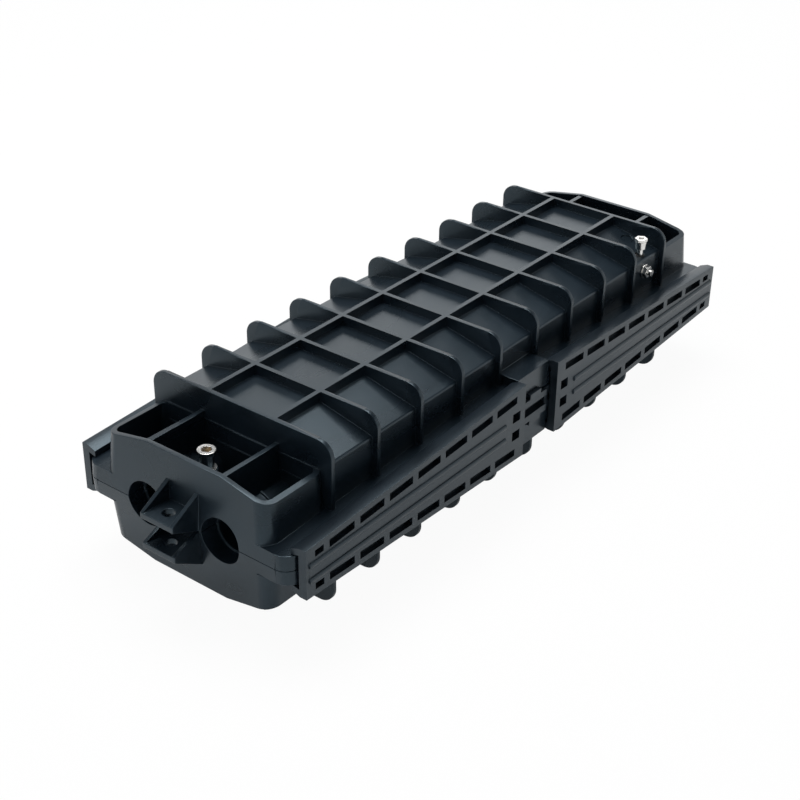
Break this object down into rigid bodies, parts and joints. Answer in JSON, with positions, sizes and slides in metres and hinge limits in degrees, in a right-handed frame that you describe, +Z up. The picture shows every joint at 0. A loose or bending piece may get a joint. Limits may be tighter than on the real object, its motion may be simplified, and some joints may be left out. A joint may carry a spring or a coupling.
{
  "type": "fibre splice closure",
  "caption": "Long ribbed cable closure of two half shells held by sliding wedge rails, with splice trays inside and round cable ports at both ends.",
  "frame": {"origin": "on the surface that the closure rests on, under the middle of its length and width", "axes": "+X along the closure's length towards the end with the air valve, +Y across it towards the side without the valve, +Z up"},
  "size_m": [0.436, 0.1532, 0.095],
  "materials": {
    "shell_plastic": "black moulded plastic with a satin sheen",
    "rail_plastic": "black moulded plastic with a satin sheen",
    "seal_rubber": "black rubber",
    "nickel": "nickel plated",
    "sheet_steel": "plain sheet steel",
    "tray_plastic": "pale grey moulded plastic",
    "clear_plastic": "clear plastic sheet",
    "strap_fabric": "black woven strap"
  },
  "bodies": {
    "closure": {"upper_shell": "shell_plastic", "lower_shell": "shell_plastic", "lock_clip_front": "rail_plastic", "lock_clip_back": "rail_plastic", "side_seal_front": "seal_rubber", "side_seal_back": "seal_rubber", "end_seal_near": "seal_rubber", "end_seal_far": "seal_rubber", "closing_bolt_near": "nickel", "closing_bolt_far": "nickel", "closing_washer_near": "nickel", "closing_washer_far": "nickel", "closing_nut_near": "nickel", "closing_nut_far": "nickel", "valve_stem": "nickel", "valve_seal": "seal_rubber", "earth_stud": "nickel", "earth_washers": "nickel", "earth_nuts": "nickel", "tray_bracket": "sheet_steel", "bracket_screws": "sheet_steel", "hose_clamps_near": "sheet_steel", "hose_clamps_far": "sheet_steel", "strength_post_near": "sheet_steel", "strength_post_far": "sheet_steel", "strength_plate_near": "sheet_steel", "strength_plate_far": "sheet_steel", "strength_screws": "sheet_steel", "splice_tray_1": "tray_plastic", "splice_tray_2": "tray_plastic", "splice_tray_3": "tray_plastic", "splice_tray_4": "tray_plastic", "splice_holder_1": "tray_plastic", "splice_holder_2": "tray_plastic", "splice_holder_3": "tray_plastic", "splice_holder_4": "tray_plastic", "hinge_pin_1": "sheet_steel", "hinge_pin_2": "sheet_steel", "hinge_pin_3": "sheet_steel", "hinge_pin_4": "sheet_steel", "hinge_bracket": "tray_plastic", "tray_cover": "clear_plastic", "tray_strap": "strap_fabric"},
    "near_front_rail": {"rail_near_front": "rail_plastic"},
    "near_back_rail": {"rail_near_back": "rail_plastic"},
    "far_front_rail": {"rail_far_front": "rail_plastic"},
    "far_back_rail": {"rail_far_back": "rail_plastic"},
    "valve_cap": {"valve_cap": "nickel"}
  },
  "joints": [
    {"name": "near_front_rail_slide", "type": "slide", "parent": "closure", "child": "near_front_rail", "axis": [-1, 0, 0], "range_m": [0, 0.19]},
    {"name": "near_back_rail_slide", "type": "slide", "parent": "closure", "child": "near_back_rail", "axis": [-1, 0, 0], "range_m": [0, 0.19]},
    {"name": "far_front_rail_slide", "type": "slide", "parent": "closure", "child": "far_front_rail", "axis": [1, 0, 0], "range_m": [0, 0.19]},
    {"name": "far_back_rail_slide", "type": "slide", "parent": "closure", "child": "far_back_rail", "axis": [1, 0, 0], "range_m": [0, 0.19]},
    {"name": "valve_cap_turn", "type": "hinge", "parent": "closure", "child": "valve_cap", "pos_m": [0.141, -0.052, 0.0919], "axis": [0, 0, 1], "range_deg": [0, 360]}
  ]
}
